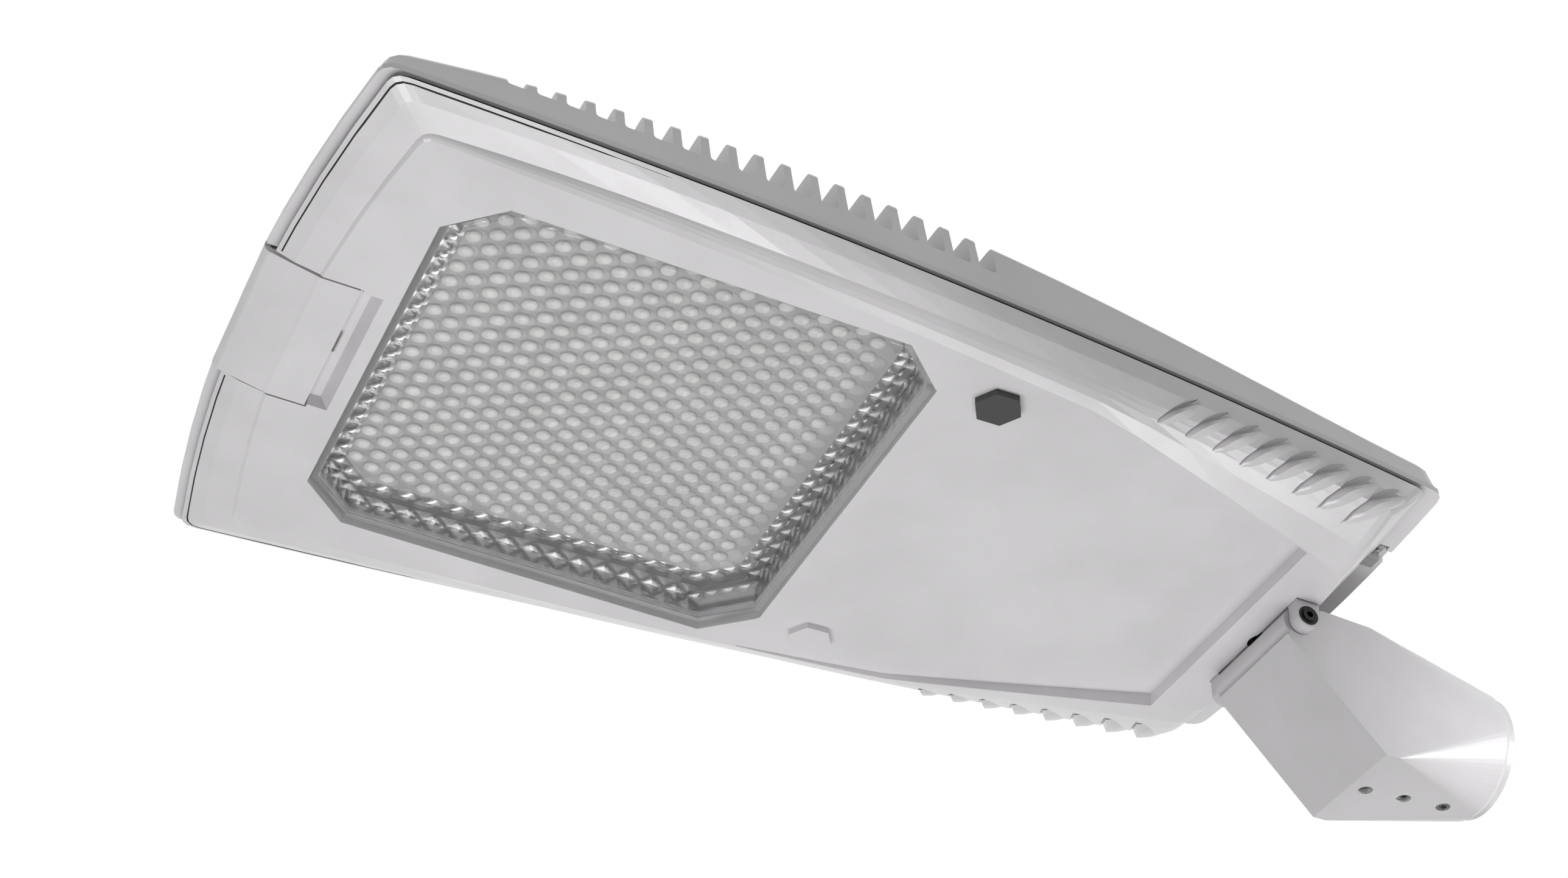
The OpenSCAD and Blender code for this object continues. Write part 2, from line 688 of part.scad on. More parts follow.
// A screw whose head lies on z, with its tip at z_tip
module screw(r, z, z_tip) {
    difference() {
        union() {
            translate([0, 0, z_tip]) cylinder(h = z - z_tip + 0.1, r = r);
            translate([0, 0, z]) cylinder(h = 1.4 * r, r = 1.8 * r);
        }
        translate([0, 0, z + 0.6 * r]) cylinder(h = 10, r = r, $fn = 6);
    }
}

module driver() {
    color("whitesmoke") at_body() translate([driver_u, -driver_w / 2, gear_z]) {
        difference() {
            cube([driver_l, driver_w, driver_h]);
            for (y = [-1, driver_w - 24]) translate([-1, y, 14]) cube([driver_l + 2, 25, 40]);
        }
        for (y = [5, driver_w - 19]) translate([6, y, 13.9]) cube([driver_l - 12, 14, 8]);
    }
}

module surge_protector() {
    color("orange") at_body() translate([small_gear_u, -82, gear_z]) {
        cube([50, 36, 24]);
        translate([6, 8, 23.9]) cube([38, 20, 3]);
    }
}

module terminal_block() {
    color("ivory") at_body() translate([small_gear_u + 5, 12, gear_z]) {
        for (k = [0:4]) translate([0, k * 12, 0]) difference() {
            cube([24, 11.4, 18]);
            translate([5, 5.7, 6]) cylinder(h = 20, r = 2.6, $fn = 24);
            translate([19, 5.7, 6]) cylinder(h = 20, r = 2.6, $fn = 24);
        }
        translate([2, 0, 0]) cube([20, 59.4, 4]);
    }
}

module cord_clamp() {
    color("dimgray") at_body() translate([panel_end - 36, 0, gear_z]) {
        translate([-6, -24, 0]) cube([12, 10, 8]);
        translate([-6, 14, 0]) cube([12, 10, 8]);
        translate([-6, -24, 7.9]) cube([12, 48, 4]);
        for (y = [-19, 19]) translate([0, y, 11.8]) cylinder(h = 3, r = 4);
    }
}

module cable_grommet() {
    color("black") at_body() translate([tilt_u, 0, 0]) difference() {
        union() {
            translate([0, 0, tilt_z + pocket_r])
                cylinder(h = floor_z + bracket_t - tilt_z - pocket_r, r = grommet_r);
            translate([0, 0, floor_z + bracket_t]) cylinder(h = 2, r = grommet_r + 3);
        }
        translate([0, 0, -40]) cylinder(h = 40, r = 6);
    }
}

module plug(s) {
    translate([plug_u, s * plug_y, 0]) {
        translate([0, 0, -panel_d - 3.5]) cylinder(h = 3.5, r = 12.7, $fn = 6);
        translate([0, 0, -panel_d - 0.1]) cylinder(h = frame_wall + 6, r = plug_r);
        translate([0, 0, floor_z]) cylinder(h = 3.5, r = plug_r + 2, $fn = 6);
    }
}

module vent_plug() {
    color("dimgray") at_body() plug(-1);
}

module blank_plug() {
    color("silver") at_body() plug(1);
}

module tilt_bracket() {
    inner = knuckle_w / 2 + slide_gap;
    color("silver") at_body() difference() {
        union() {
            translate([tilt_u - 14, -inner - ear_t, floor_z]) cube([21.5, 2 * (inner + ear_t), bracket_t]);
            for (y = [-inner - ear_t, inner]) across(y, y + ear_t) {
                translate([tilt_u, tilt_z]) circle(ear_r);
                translate([tilt_u - ear_r, tilt_z]) square([2 * ear_r, floor_z + 1 - tilt_z]);
            }
        }
        across(-60, 60) translate([tilt_u, tilt_z]) circle(bolt_d / 2 + running);
        for (y = [-inner - ear_t - 1, inner + 3.5]) across(y, y + ear_t - 2.5)
            translate([tilt_u, tilt_z]) circle(bolt_d / 2 + 1.7);
        translate([tilt_u, 0, -20]) cylinder(h = 40, r = grommet_r + 0.1);
        for (x = bracket_x, y = bracket_y) translate([tilt_u + x, y, -20]) cylinder(h = 40, r = 3.1);
    }
}

module bracket_screws() {
    color("dimgray") at_body() for (x = bracket_x, y = bracket_y) translate([tilt_u + x, y, 0])
        screw(3, floor_z + bracket_t, tilt_z + pocket_r + 1.3);
}

module tilt_bolt() {
    y0 = knuckle_w / 2 + slide_gap + 3.5;
    color("dimgray") at_body() difference() {
        across(-y0 - 6, y0 + 5) translate([tilt_u, tilt_z]) circle(bolt_d / 2);
        across(-y0 - 7, -y0 - 3) translate([tilt_u, tilt_z]) circle(bolt_d / 4, $fn = 6);
    }
}

// Caps that screw on the bolt's two ends, in the ears' counterbores
module tilt_nut() {
    y0 = knuckle_w / 2 + slide_gap + 3.5;
    r = bolt_d / 2 + 1.6;
    color("dimgray") at_body() for (s = [-1, 1]) difference() {
        across(s > 0 ? y0 : -y0 - 5, s > 0 ? y0 + 5 : -y0) translate([tilt_u, tilt_z]) circle(r);
        across(-60, 60) translate([tilt_u, tilt_z]) circle(bolt_d / 2 + 0.02);
    }
}

screw_u = [for (a = [6, 30, 55]) socket_end + a];
flat_z = -socket_z - sleeve_d / 2 - 4;
module pole_adapter() {
    kw = knuckle_w / 2;
    sleeve_r = sleeve_d / 2;
    color("silver") at_body() difference() {
        union() {
            // Head between the ears, which runs into the round sleeve
            hull() {
                across(-kw, kw) polygon([[tilt_u - knuckle_r + 1.4, tilt_z - 9], [tilt_u + 14, head_top],
                    [tilt_u + 12, tilt_z]]);
                across(-sleeve_r, sleeve_r) polygon([[socket_end - 8, flat_z + 5], [socket_end - 4, flat_z],
                    [socket_end + 4, flat_z], [socket_end - 6, head_top - 2]]);
                translate([mouth_at - 6, 0, -socket_z]) rotate([0, 90, 0])
                    cylinder(h = 2.5, r1 = sleeve_r, r2 = sleeve_r - 1.5, $fn = 72);
            }
            translate([mouth_at - 5, 0, -socket_z]) rotate([0, 90, 0])
                cylinder(h = 5, r = (sleeve_d + socket_d) / 4 + 0.5, $fn = 96);
            across(-kw, kw) translate([tilt_u, tilt_z]) circle(knuckle_r);
        }
        translate([socket_end, 0, -socket_z]) rotate([0, 90, 0])
            cylinder(h = socket_len + 1, r = socket_d / 2, $fn = 96);
        // Way for the cable, from the socket to the top of the head
        across(8 - kw, kw - 8) polygon([[tilt_u - 4, head_top + 4], [tilt_u - 4, tilt_z - 9.5],
            [socket_end - 10, flat_z + 17], [socket_end + 1, flat_z + 17], [socket_end + 1, -socket_z + 25],
            [tilt_u + 26, head_top + 4]]);
        across(-60, 60) translate([tilt_u, tilt_z]) circle(bolt_d / 2 + running);
        for (u = screw_u) translate([u, 0, flat_z - 1]) cylinder(h = 20, r = 4.02);
        // Room for the ears beside a head that is narrower than the sleeve
        if (kw < sleeve_r) for (y = [-sleeve_r, kw]) across(y, y + sleeve_r - kw)
            translate([tilt_u, tilt_z]) circle(pocket_r);
    }
}

module set_screws() {
    color("dimgray") at_body() for (u = screw_u) translate([u, 0, flat_z + 3]) difference() {
        cylinder(h = 5.5, r = 4);
        translate([0, 0, -1]) cylinder(h = 3.5, r = 2.3, $fn = 6);
    }
}

canopy();
led_carrier();
led_boards();
lens_plate();
canopy_hinges();
hinge_pins();
latch_bracket();
latch();
latch_pin();
latch_spring();
lower_frame();
canopy_seal();
glass();
glass_seal();
light_box();
gear_tray();
tray_screws();
driver();
surge_protector();
terminal_block();
cord_clamp();
cable_grommet();
vent_plug();
blank_plug();
frame_hinges();
tilt_bracket();
bracket_screws();
tilt_bolt();
tilt_nut();
pole_adapter();
set_screws();
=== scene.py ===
# %% [markdown]
# # A street lantern, seen from below
# The lantern's measured parts come from its CAD model and are loaded as a fixed frame. This
# lesson dresses them: it gives each part the finish of what it is made of, adds the details
# that are too fine for the CAD model, and sets up the light and the camera.

# %% Load the frame
import math
import bpy
from mathutils import Matrix, Vector
from mathutils.bvhtree import BVHTree


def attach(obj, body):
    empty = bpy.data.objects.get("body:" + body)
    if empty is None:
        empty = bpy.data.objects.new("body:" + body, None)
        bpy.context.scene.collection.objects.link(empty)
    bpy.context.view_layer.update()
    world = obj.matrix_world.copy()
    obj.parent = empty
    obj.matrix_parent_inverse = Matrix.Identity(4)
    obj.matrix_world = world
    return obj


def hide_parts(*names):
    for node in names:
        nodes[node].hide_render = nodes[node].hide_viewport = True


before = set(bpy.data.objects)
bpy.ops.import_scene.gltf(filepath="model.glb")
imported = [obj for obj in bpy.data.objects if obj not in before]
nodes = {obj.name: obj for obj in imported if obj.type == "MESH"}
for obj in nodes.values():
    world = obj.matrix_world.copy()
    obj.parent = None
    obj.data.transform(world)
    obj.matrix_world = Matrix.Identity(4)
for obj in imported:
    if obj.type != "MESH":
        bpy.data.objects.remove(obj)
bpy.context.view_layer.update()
print("CAD nodes:", len(nodes))

# %% [markdown]
# The CAD model has its origin in the mouth of the pole socket. Every reading on the body was
# made from the nose corners and from the canopy's rim, so one small function turns such a
# reading, in millimetres, into a point of the frame, in metres. Here u runs from the nose to
# the tail, y across the body and z up from the rim.

# %% Points on the body
MOUTH_AT, SOCKET_Z = 690.0, 65.0


def at(u, y, z):
    return Vector(((u - MOUTH_AT) / 1000, y / 1000, (z + SOCKET_Z) / 1000))


print("nose corner:", tuple(round(c, 3) for c in at(0, -190, 0)))

# %% [markdown]
# Colours are written as sRGB hex values, the way a colour picker shows them. Blender's
# shaders work in linear light, so one function makes the change. A second one gives the same
# colour in a darker shade, for the dull spots of a finish.

# %% Colours


def srgb(hex_code):
    values = [int(hex_code[i:i + 2], 16) / 255 for i in (1, 3, 5)]
    linear = [c / 12.92 if c <= 0.04045 else ((c + 0.055) / 1.055) ** 2.4 for c in values]
    return (*linear, 1.0)


def darker(colour, share):
    return tuple(c * share for c in colour[:3]) + (1.0,)


print("powder coat in linear light:", tuple(round(c, 3) for c in srgb("#DCDADC")))

# %% [markdown]
# A material is a small graph of nodes. One function adds a node, sets its values and makes its
# links in one line, so that each finish below reads from top to bottom. A link goes to a socket
# by its name, or by its number where the names repeat: i0 is the first input.

# %% One function for every shader node


def add(tree, kind, settings=None, **links):
    made = tree.nodes.new(kind)
    for name, value in (settings or {}).items():
        if name == "stops":
            for element, stop in zip(made.color_ramp.elements, value):
                element.position, element.color = stop
        elif name in made.inputs:
            made.inputs[name].default_value = value
        else:
            setattr(made, name, value)
    for name, source in links.items():
        numbered = name[0] == "i" and name[1:].isdigit()
        socket = made.inputs[int(name[1:]) if numbered else name.replace("_", " ")]
        tree.links.new(source, socket)
    return made


print("node helper ready")

# %% [markdown]
# Every finish starts from Blender's Principled shader. What differs over the surface, its
# colour and its fine relief, comes from a pattern. The relief is a bump: it only bends the
# light, which is enough for waves and grains of less than a millimetre.

# %% A finish and its pattern


def new_finish(name, **settings):
    finish = bpy.data.materials.new(name)
    finish.use_nodes = True
    tree = finish.node_tree
    tree.nodes.clear()
    values = {key.replace("_", " "): value for key, value in settings.items()}
    shader = add(tree, "ShaderNodeBsdfPrincipled", values)
    add(tree, "ShaderNodeOutputMaterial", Surface=shader.outputs["BSDF"])
    return finish, tree, shader


def pattern(tree, shader, colour_from, stops, height=None, strength=0.0, depth=0.0):
    """Colour the shader by a pattern's value, and raise a relief where there is a height"""
    colour = add(tree, "ShaderNodeValToRGB", {"stops": stops}, Fac=colour_from)
    tree.links.new(colour.outputs["Color"], shader.inputs["Base Color"])
    if height is not None:
        bump = add(tree, "ShaderNodeBump", {"Strength": strength, "Distance": depth}, Height=height)
        tree.links.new(bump.outputs["Normal"], shader.inputs["Normal"])


print("finish helpers ready")

# %% [markdown]
# The castings are die-cast aluminium with a polyester powder coat. The powder melts into a
# skin with a faint orange peel, waves of 1 to 3 mm that soften the highlights, and dust makes
# its colour vary very slightly. The silver-grey powder carries a little metal flake, which makes
# an edge that faces the light much brighter than the flat beside it. Two noise patterns give
# the peel and the dust, because noise has no seams on shapes this varied. One such finish
# serves the canopy, the frame and the adapter. The adapter's copy is painted a darker grey,
# which is painted shade and not a colour of its own.

# %% Powder-coated die-cast aluminium


def powder_coat(name, hex_code, rough=0.36):
    finish, tree, shader = new_finish(
        name, Metallic=0.09, Roughness=rough, Coat_Weight=0.3, Coat_Roughness=0.14)
    coords = add(tree, "ShaderNodeTexCoord").outputs["Object"]
    peel_size = {"Scale": 420.0, "Detail": 2.0, "Roughness": 0.5}
    dust_size = {"Scale": 9.0, "Detail": 5.0, "Roughness": 0.6}
    peel = add(tree, "ShaderNodeTexNoise", peel_size, Vector=coords).outputs["Fac"]
    dust = add(tree, "ShaderNodeTexNoise", dust_size, Vector=coords).outputs["Fac"]
    light = srgb(hex_code)
    pattern(tree, shader, dust, [(0.35, darker(light, 0.9)), (0.62, light)], peel, 0.06, 0.001)
    return finish


canopy_coat = powder_coat("powder_coat_on_canopy_casting", "#DAD8DA")
frame_coat = powder_coat("powder_coat_on_frame_casting", "#DCDADC")
# The adapter's copy of the same coat is painted a darker grey: painted shade.
adapter_coat_painted_darker = powder_coat("powder_coat_painted_darker_on_adapter_casting", "#C8C6C8", 0.38)
print("three powder coats")

# %% [markdown]
# Screws, pins and spring strips are stainless or zinc-plated steel, and the tilt bolt is black
# oxide steel. Turning and drawing leave fine lines, which make the highlight long and soft. A
# noise that is squeezed along one axis gives such lines. They are 0.3 mm apart here, coarser
# than the real ones, so that they show.

# %% Bare metals


def drawn_metal(name, hex_code, rough, squeeze=(1.0, 1.0, 12.0)):
    finish, tree, shader = new_finish(name, Metallic=1.0, Roughness=rough)
    coords = add(tree, "ShaderNodeTexCoord").outputs["Object"]
    place = add(tree, "ShaderNodeMapping", {"Scale": squeeze}, Vector=coords).outputs["Vector"]
    lines = add(tree, "ShaderNodeTexNoise", {"Scale": 300.0, "Detail": 3.0}, Vector=place).outputs["Fac"]
    light = srgb(hex_code)
    pattern(tree, shader, lines, [(0.3, darker(light, 0.8)), (0.7, light)], lines, 0.08, 0.0005)
    return finish


stainless = drawn_metal("stainless_steel", "#B9B9B7", 0.3)
zinc_steel = drawn_metal("zinc_plated_steel", "#A9ABA9", 0.38)
black_steel = drawn_metal("black_oxide_steel", "#3E3D3D", 0.45)
bare_aluminium = drawn_metal("milled_aluminium", "#B8BABC", 0.35, (12.0, 1.0, 1.0))
print("bare metals ready")

# %% [markdown]
# Silicone seals, nylon plugs and plastic cases are moulded. Moulds leave a fine matt grain,
# and the dark ones show it only where light grazes them. The same grain at a lower strength
# serves the enamelled steel of the driver's case and the solder mask of the boards.

# %% Moulded rubber and plastics


def moulded(name, hex_code, rough, grain, ior):
    finish, tree, shader = new_finish(name, Roughness=rough, IOR=ior)
    coords = add(tree, "ShaderNodeTexCoord").outputs["Object"]
    grains = add(tree, "ShaderNodeTexNoise", {"Scale": 900.0, "Detail": 2.0}, Vector=coords).outputs["Fac"]
    light = srgb(hex_code)
    pattern(tree, shader, grains, [(0.3, darker(light, 0.85)), (0.7, light)], grains, grain, 0.0005)
    return finish


silicone = moulded("black_silicone_rubber", "#2A2929", 0.6, 0.1, 1.42)
grey_silicone = moulded("pale_grey_silicone_rubber", "#B4B3B4", 0.55, 0.08, 1.42)
dark_nylon = moulded("dark_grey_nylon", "#434142", 0.45, 0.15, 1.53)
grey_case = moulded("grey_polycarbonate_case", "#767A80", 0.4, 0.08, 1.58)
ivory_nylon = moulded("ivory_nylon", "#DDD6C2", 0.4, 0.05, 1.53)
white_enamel = moulded("white_enamelled_steel", "#E4E4E1", 0.3, 0.03, 1.5)
solder_mask = moulded("white_solder_resist", "#ECECE8", 0.35, 0.02, 1.5)
print("moulded finishes ready")

# %% [markdown]
# The glass is toughened soda-lime glass, clear and flat. The lens plate behind it is moulded
# acrylic: between its lenses it looks grey, because the eye sees the shaded board through it,
# and each lens shows the lit white of its chip as a bright spot. A true clear plate over a
# board would need many bounces of light to look so. Here the plate is an opaque glossy finish
# painted the grey of that shade, a painted shade, and each lens is an opaque glossy finish
# painted near-white, a painted highlight. The two look the same as the clear plate. The glass
# lets most light straight through, so the lamps reach the lenses.

# %% Glass and clear acrylic
flat_glass = new_finish(
    "toughened_soda_lime_glass", Base_Color=srgb("#FDFEFE"), Roughness=0.0, IOR=1.46,
    Transmission_Weight=1.0, Alpha=0.3)[0]


def acrylic_over(name, hex_code, rough):
    finish, tree, shader = new_finish(
        name, Roughness=rough, IOR=1.49, Coat_Weight=0.5, Coat_Roughness=0.05)
    coords = add(tree, "ShaderNodeTexCoord").outputs["Object"]
    cloud = add(tree, "ShaderNodeTexNoise", {"Scale": 60.0, "Detail": 2.0}, Vector=coords).outputs["Fac"]
    light = srgb(hex_code)
    pattern(tree, shader, cloud, [(0.35, darker(light, 0.88)), (0.65, light)])
    return finish


# The plate's grey is painted shade, and the lenses' near-white is a painted highlight.
acrylic_painted_shade = acrylic_over("acrylic_painted_grey_of_shaded_board", "#B8B7B8", 0.3)
acrylic_painted_lit = acrylic_over("acrylic_lens_painted_lit_white", "#F4F4F2", 0.15)
print("clear finishes ready")

# %% [markdown]
# The inner walls of the light opening are bright anodised sheet, embossed with a lattice of
# diamonds about 14 mm apart that breaks up the light. The lattice is the lower of two sets of
# slanted waves, used as a bump, and its dents are also painted a darker grey, which is painted
# shade. On the walls the second set is the first one with its height turned over. The flange
# round the lenses lies flat, so there the width is turned over.

# %% Embossed reflector sheet
DIAMOND = 0.014
WAVES_PER_METRE = 2 * math.pi / (10 * DIAMOND)


def embossed_sheet(name, turned):
    finish, tree, shader = new_finish(name, Metallic=1.0, Roughness=0.24)
    coords = add(tree, "ShaderNodeTexCoord").outputs["Object"]
    flipped = add(tree, "ShaderNodeMapping", {"Scale": turned}, Vector=coords).outputs["Vector"]
    slanted = {"bands_direction": "DIAGONAL", "Scale": WAVES_PER_METRE}
    one = add(tree, "ShaderNodeTexWave", slanted, Vector=coords).outputs["Fac"]
    two = add(tree, "ShaderNodeTexWave", slanted, Vector=flipped).outputs["Fac"]
    lower = add(tree, "ShaderNodeMath", {"operation": "MINIMUM"}, i0=one, i1=two).outputs["Value"]
    # The lattice's dents are painted darker grey than its crests: painted shade.
    pattern(tree, shader, lower, [(0.05, srgb("#8E8E90")), (0.35, srgb("#DCDCDD"))], lower, 0.7, 0.002)
    return finish


wall_sheet = embossed_sheet("embossed_anodised_wall_sheet", (1.0, 1.0, -1.0))
flange_sheet = embossed_sheet("embossed_anodised_flange_sheet", (1.0, -1.0, 1.0))
print("reflector sheets ready")

# %% [markdown]
# Each CAD node now gets the finish of what it really is. A table from finish to nodes keeps
# that choice in one place, and the print shows whether a node was forgotten.

# %% Dress the CAD nodes
dressed_in = [
    (canopy_coat, ["canopy"]),
    (frame_coat, ["lower_frame", "latch", "blank_plug"]),
    (adapter_coat_painted_darker, ["tilt_bracket", "pole_adapter"]),
    (stainless, ["canopy_hinges", "frame_hinges", "hinge_pins", "latch_bracket", "latch_pin"]),
    (stainless, ["latch_spring", "bracket_screws", "set_screws"]),
    (black_steel, ["tilt_bolt", "tilt_nut"]),
    (zinc_steel, ["gear_tray", "tray_screws"]),
    (bare_aluminium, ["led_carrier"]),
    (wall_sheet, ["light_box"]),
    (silicone, ["canopy_seal", "cable_grommet"]),
    (grey_silicone, ["glass_seal"]),
    (dark_nylon, ["vent_plug", "cord_clamp"]),
    (grey_case, ["surge_protector"]),
    (ivory_nylon, ["terminal_block"]),
    (white_enamel, ["driver"]),
    (solder_mask, ["led_boards"]),
    (acrylic_painted_shade, ["lens_plate"]),
    (flat_glass, ["glass"]),
]
finish_of = {name: finish for finish, names in dressed_in for name in names}
for name, obj in nodes.items():
    obj.data.materials.clear()
    obj.data.materials.append(finish_of[name])
print("dressed:", len(finish_of), "left bare:", sorted(set(nodes) - set(finish_of)))

# %% [markdown]
# New pieces are built as meshes from lists of points and faces. One function makes the object,
# gives it its finishes and puts it on the CAD body that carries it. Faces that meet at less
# than 40 degrees are shaded as one curve, so low domes look round with few faces.

# %% One function for every new piece
SHARP_ABOVE = math.radians(40)


def piece(name, points, faces, finishes, body, finish_index=None):
    mesh = bpy.data.meshes.new(name)
    mesh.from_pydata([tuple(p) for p in points], [], faces)
    for finish in finishes:
        mesh.materials.append(finish)
    if finish_index:
        mesh.polygons.foreach_set("material_index", finish_index)
    mesh.polygons.foreach_set("use_smooth", [True] * len(mesh.polygons))
    mesh.set_sharp_from_angle(angle=SHARP_ABOVE)
    obj = bpy.data.objects.new(name, mesh)
    bpy.context.scene.collection.objects.link(obj)
    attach(obj, body)
    print(name, "has", len(mesh.polygons), "faces")
    return obj


print("piece helper ready")

# %% [markdown]
# The light opening is a rectangle with its corners cut off. The lens plate, the field of lenses
# and the flange all follow it at their own inset, so one function gives the eight corners. An
# inset octagon's slanted side gets shorter by 2 - root 2 of the inset in each direction.

# %% The opening's outline
OPENING_AT, OPENING_LEN, OPENING_W, OPENING_CUT = 49.0, 257.0, 272.0, 26.0
CUT_SHRINK = 0.586


def opening_plan(inset):
    x0, x1 = OPENING_AT + inset, OPENING_AT + OPENING_LEN - inset
    h, c = OPENING_W / 2 - inset, OPENING_CUT - CUT_SHRINK * inset
    near = [(x0, c - h), (x0 + c, -h), (x1 - c, -h), (x1, c - h)]
    return near + [(u, -y) for u, y in reversed(near)]


def inside(plan, u, y, margin):
    for (a, b), (c, d) in zip(plan, plan[1:] + plan[:1]):
        if ((c - a) * (y - b) - (d - b) * (u - a)) / math.hypot(c - a, d - b) < margin:
            return False
    return True


print("opening corners:", opening_plan(0))

# %% [markdown]
# The lens plate carries a few hundred small lenses in staggered rows, each over a chip. The
# photo is too soft to read its rows, so the 12 mm between lenses, and with it their number, is
# a guess that probably gives too many. The CAD model has fewer and larger ones, because only
# their place matters there. Here the plate keeps the CAD outline, and each lens is a low dome
# of four rings. A copied and joined sphere would carry many hidden faces, and these domes
# have none.

# %% The lens plate
PLATE_INSET, PLATE_Z, PLATE_T = 6.7, 7.6, 2.0
FIELD_INSET, LENS_MARGIN = 15.0, 4.5
PITCH, ROW_STEP, ROWS, COLUMNS = 12.0, 0.866, 24, 21
SIDES = 12
LENS_RINGS = [(4.6, 0.0), (4.1, -1.1), (2.9, -1.9), (1.4, -2.3)]
PLATE_FINISH, LENS_FINISH = 0, 1


def prism(points, faces, plan, z0, z1):
    first, n = len(points), len(plan)
    points += [at(u, y, z) for z in (z0, z1) for u, y in plan]
    faces += [tuple(first + i for i in reversed(range(n))), tuple(first + n + i for i in range(n))]
    for i in range(n):
        j = (i + 1) % n
        faces.append((first + i, first + j, first + n + j, first + n + i))


def lens(points, faces, which, u, y):
    first = len(points)
    for radius, dz in LENS_RINGS:
        for a in range(SIDES):
            turn = 2 * math.pi * a / SIDES
            points.append(at(u + radius * math.cos(turn), y + radius * math.sin(turn), PLATE_Z + dz))
    for ring in range(len(LENS_RINGS) - 1):
        low, high = first + ring * SIDES, first + (ring + 1) * SIDES
        for a in range(SIDES):
            b = (a + 1) % SIDES
            faces.append((low + a, high + a, high + b, low + b))
            # The upper rings and the cap take the near-white lens finish, a painted highlight.
            which.append(PLATE_FINISH if ring == 0 else LENS_FINISH)
    faces.append(tuple(high + a for a in range(SIDES)))
    which.append(LENS_FINISH)


points, faces = [], []
prism(points, faces, opening_plan(PLATE_INSET), PLATE_Z, PLATE_Z + PLATE_T)
which = [PLATE_FINISH] * len(faces)
field = opening_plan(FIELD_INSET)
first_u, first_y = field[0][0] + PITCH / 2, -10.5 * PITCH
count = 0
for row in range(ROWS):
    for col in range(COLUMNS):
        u = first_u + row * PITCH * ROW_STEP
        y = first_y + (col + 0.5 * (row % 2)) * PITCH
        if inside(field, u, y, LENS_MARGIN):
            lens(points, faces, which, u, y)
            count += 1
lens_finishes = [acrylic_painted_shade, acrylic_painted_lit]
lens_field = piece("lens_field", points, faces, lens_finishes, "lid", which)
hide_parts("lens_plate")
print("lenses:", count)

# %% [markdown]
# A flange of the same embossed sheet as the walls frames the lenses. It is a flat ring with a
# small rolled inner edge. Five outlines at growing insets, joined by quads, make it: an outer
# edge, the flat, and three steps round the roll.

# %% The reflector flange
FLANGE_RINGS = [(7.0, 7.5), (7.0, 6.9), (13.6, 6.9), (14.4, 7.1), (14.7, 7.6)]
CORNERS = 8
points = [at(u, y, z) for inset, z in FLANGE_RINGS for u, y in opening_plan(inset)]
faces = []
for ring in range(len(FLANGE_RINGS) - 1):
    outer, inner = ring * CORNERS, (ring + 1) * CORNERS
    for i in range(CORNERS):
        j = (i + 1) % CORNERS
        faces.append((outer + i, outer + j, inner + j, inner + i))
piece("reflector_flange", points, faces, [flange_sheet], "lid")

# %% [markdown]
# Eight gills stand on each flank near the tail, where the rolled edge ends. They let the warm
# air out and keep the rain off. Each one is a curved hood behind its louvre's slot: a low step
# on the nose side, and a back that sinks into the flank. A hood could be bent from a flat strip
# with a modifier, but the flank twists, so its points are set one by one. The flank's own
# curves, from the crease over the edge to the rim, say roughly where a point lies, and a ray
# cast at the frame from outside sets it on the true surface.

# %% Find the flank's surface
BODY_LEN = 580.0
HALF_AT_NOSE, NARROWING, BOW = 190.0, 62.0, 40.0
DEPTH_AT_NOSE, DEEPER_BY = 10.0, 19.0
RIM_INSET, RIM_Z = 0.0, -3.0
RAY_START = 0.1
frame_surface = BVHTree.FromObject(nodes["lower_frame"], bpy.context.evaluated_depsgraph_get())


def section(u, q):
    """Inset and height of the frame's section at u: the crease at q = 0, the rim at q = 1"""
    share = u / BODY_LEN
    under = DEPTH_AT_NOSE + DEEPER_BY * share
    rise = 5.5 + 6 * ((u - 150) / 430) ** 2
    crease = (25 + 0.19 * max(0, u - 390), -under)
    edge = (23.5 - 22 * share + 1.3 * (rise - 5.5), rise - under)
    ends, t = ((crease, edge), 2 * q) if q < 0.5 else ((edge, (RIM_INSET, RIM_Z)), 2 * q - 1)
    return [a + (b - a) * t for a, b in zip(*ends)]


def on_flank(u, side, q):
    share = u / BODY_LEN
    half = HALF_AT_NOSE - NARROWING * share + BOW * share * (1 - share)
    inset, z = section(u, q)
    outwards = Vector((0, side * 0.76, -0.65))
    start = at(u, side * (half - inset), z) + outwards * RAY_START
    return frame_surface.ray_cast(start, -outwards)[0], outwards


print("flank at the first gill:", tuple(round(c, 3) for c in on_flank(418, -1, 0.5)[0]))

# %% [markdown]
# The profile is the hood's section, as shares of its length and its height: up the step, over
# the top and down the back. It follows the same curved path as the slot. A sine makes the hood
# full in the middle and lets it run out at both ends, and the hoods grow towards the tail.

# %% Gills on the flanks
GILLS, FIRST_GILL, GILL_PITCH = 8, 418.0, 18.0
GILL_STEPS, GILL_RISE, GILL_LENGTH = 12, 0.0038, 15.5
SMALLEST, GROWTH, SUNK = 0.7, 0.29, 0.15
GILL_PROFILE = [(0.0, -0.3), (0.0, 0.6), (0.07, 0.92), (0.25, 1.0), (0.55, 0.72), (0.85, 0.18), (1.0, -0.3)]


